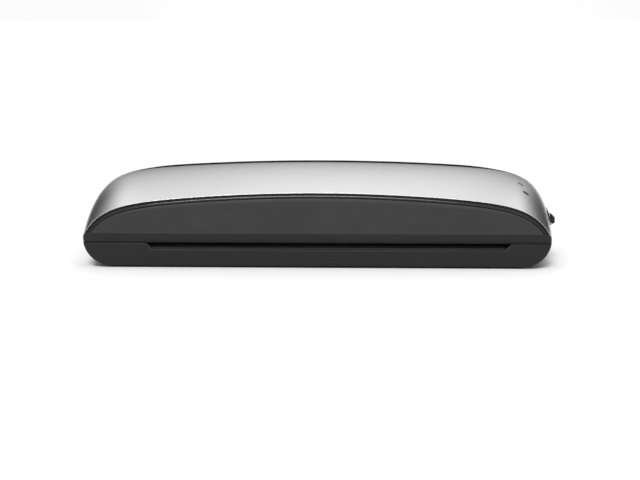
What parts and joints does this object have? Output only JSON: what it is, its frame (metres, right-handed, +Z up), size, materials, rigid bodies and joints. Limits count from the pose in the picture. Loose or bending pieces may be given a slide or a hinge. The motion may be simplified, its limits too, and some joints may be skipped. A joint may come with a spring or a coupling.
{
  "type": "pouch laminator",
  "caption": "Table-top pouch laminator with an arched silver hood, dark lens-shaped front panel, low exit slot, side mode switch, heated plates, geared rollers and a release lever.",
  "frame": {"origin": "centre of the machine's outline, on the surface that its feet stand on", "axes": "+X along the casing to the end with the mode switch, +Y from the exit slot at the front to the entry slot at the rear, +Z up"},
  "size_m": [0.4762, 0.145, 0.0974],
  "materials": {
    "black_plastic": "fine grain",
    "fascia_plastic": "fine grain",
    "silver_shell": "brushed silver metallic coat",
    "gloss_black": "semi-gloss",
    "green_lens": "translucent, clear",
    "smoke_lens": "translucent, dark",
    "rubber": "matt",
    "silicone": "matt",
    "steel": "ground",
    "galvanised": "zinc plated",
    "aluminium": "extruded",
    "mica": "mica sheet",
    "board": "solder mask",
    "white_plastic": "moulded acetal",
    "brass": "turned"
  },
  "bodies": {
    "chassis": {"base_casing": "black_plastic", "front_frame": "black_plastic", "front_panel": "fascia_plastic", "top_shell": "silver_shell", "rear_casing": "black_plastic", "ready_lens": "green_lens", "power_lens": "smoke_lens", "mode_escutcheon": "gloss_black", "control_board": "board", "slide_switch": "galvanised", "ready_led": "green_lens", "power_led": "smoke_lens", "side_frame_left": "galvanised", "side_frame_right": "galvanised", "lower_bush_left": "brass", "lower_bush_right": "brass", "spring_bridge_left": "galvanised", "spring_bridge_right": "galvanised", "pressure_spring_left": "steel", "pressure_spring_right": "steel", "tie_bar_front": "steel", "tie_bar_rear": "steel", "gear_plate": "galvanised", "gear_motor": "galvanised", "lower_heater_plate": "aluminium", "upper_heater_plate": "aluminium", "lower_heating_element": "mica", "upper_heating_element": "mica", "thermostat": "white_plastic", "thermal_fuse": "aluminium", "lower_exit_guide": "black_plastic", "upper_exit_guide": "black_plastic", "lower_entry_guide": "black_plastic", "upper_entry_guide": "black_plastic", "cord_gland": "rubber", "foot_front_left": "rubber", "foot_front_right": "rubber", "foot_rear_left": "rubber", "foot_rear_right": "rubber"},
    "lower_roller": {"lower_roller_shaft": "steel", "lower_roller_sleeve": "silicone", "lower_roller_gear": "white_plastic"},
    "pressure_carrier": {"upper_block_left": "white_plastic", "upper_block_right": "white_plastic"},
    "upper_roller": {"upper_roller_shaft": "steel", "upper_roller_sleeve": "silicone", "upper_roller_gear": "white_plastic"},
    "idler": {"idler_gear": "white_plastic"},
    "pinion": {"motor_pinion": "brass"},
    "release": {"release_shaft": "steel", "release_lever": "gloss_black"},
    "mode_switch": {"mode_knob": "gloss_black"}
  },
  "joints": [
    {"name": "lower_roller_spin", "type": "hinge", "parent": "chassis", "child": "lower_roller", "pos_m": [0.012, -0.022, 0.0144], "axis": [1, 0, 0], "continuous": true},
    {"name": "pressure_lift", "type": "slide", "parent": "chassis", "child": "pressure_carrier", "axis": [0, 0, 1], "range_m": [0, 0.0015], "deforming": ["pressure_spring_left", "pressure_spring_right"]},
    {"name": "upper_roller_spin", "type": "hinge", "parent": "pressure_carrier", "child": "upper_roller", "pos_m": [0.012, -0.022, 0.031], "axis": [1, 0, 0], "continuous": true},
    {"name": "idler_spin", "type": "hinge", "parent": "chassis", "child": "idler", "pos_m": [-0.17925, -0.00143, 0.01972], "axis": [1, 0, 0], "continuous": true},
    {"name": "pinion_spin", "type": "hinge", "parent": "chassis", "child": "pinion", "pos_m": [-0.17925, 0.0082, 0.03639], "axis": [1, 0, 0], "continuous": true},
    {"name": "release_turn", "type": "hinge", "parent": "chassis", "child": "release", "pos_m": [0.012, -0.008, 0.0307], "axis": [1, 0, 0], "range_deg": [0, 25.01]},
    {"name": "mode_slide", "type": "slide", "parent": "chassis", "child": "mode_switch", "axis": [0, 1, 0], "range_m": [0, 0.016]}
  ],
  "couplings": [
    {"joint": "upper_roller_spin", "follows": "lower_roller_spin", "ratio": -1},
    {"joint": "idler_spin", "follows": "lower_roller_spin", "ratio": -0.61538},
    {"joint": "pinion_spin", "follows": "lower_roller_spin", "ratio": 1.3333},
    {"joint": "release_turn", "follows": "pressure_lift", "rad_per_m": 290.89}
  ]
}
